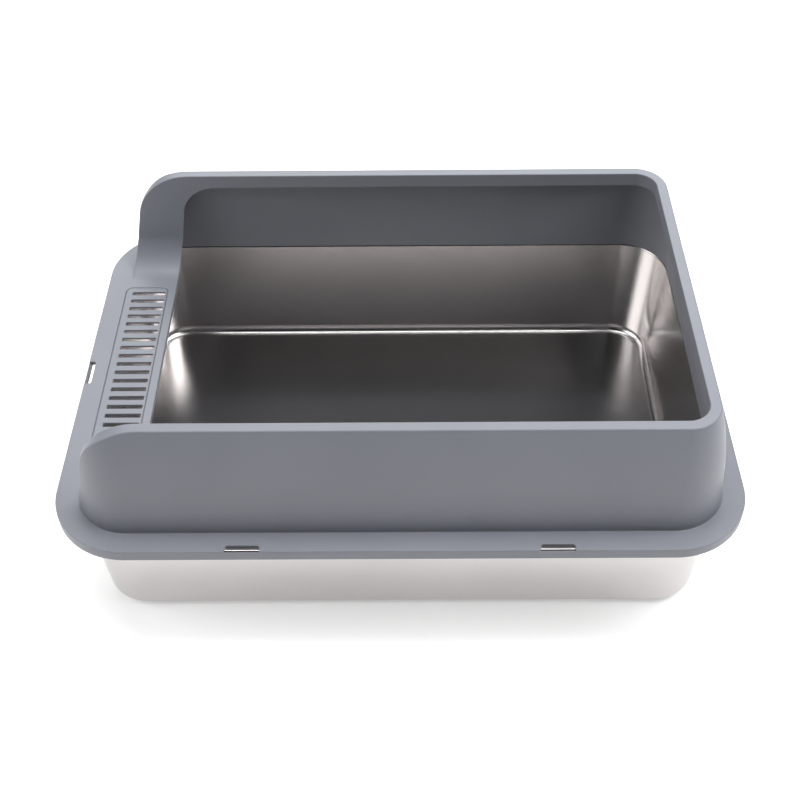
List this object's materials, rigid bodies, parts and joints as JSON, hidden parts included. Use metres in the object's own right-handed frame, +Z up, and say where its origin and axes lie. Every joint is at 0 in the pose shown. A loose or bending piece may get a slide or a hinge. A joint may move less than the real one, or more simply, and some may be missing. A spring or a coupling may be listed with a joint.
{
  "type": "cat litter box",
  "caption": "Steel cat litter pan with a clip-on high-sided plastic enclosure, open on top, with a low entrance and a litter-catching grille.",
  "frame": {"origin": "centre of the footprint, on the surface that the box stands on", "axes": "+X along the length, away from the low entrance; +Z up; the front long side faces -Y"},
  "size_m": [0.51, 0.366, 0.1926],
  "materials": {
    "steel": "satin",
    "plastic": "matte",
    "rubber": "matte"
  },
  "bodies": {
    "pan": {"steel_pan": "steel", "foot_front_left": "rubber", "foot_front_right": "rubber", "foot_rear_left": "rubber", "foot_rear_right": "rubber"},
    "enclosure": {"enclosure": "plastic"},
    "grille": {"litter_grille": "plastic"}
  },
  "joints": [
    {"name": "enclosure_lift", "type": "slide", "parent": "pan", "child": "enclosure", "axis": [0, 0, 1], "range_m": [0, 0.15]},
    {"name": "grille_lift", "type": "slide", "parent": "enclosure", "child": "grille", "axis": [0, 0, 1], "range_m": [0, 0.06]}
  ]
}
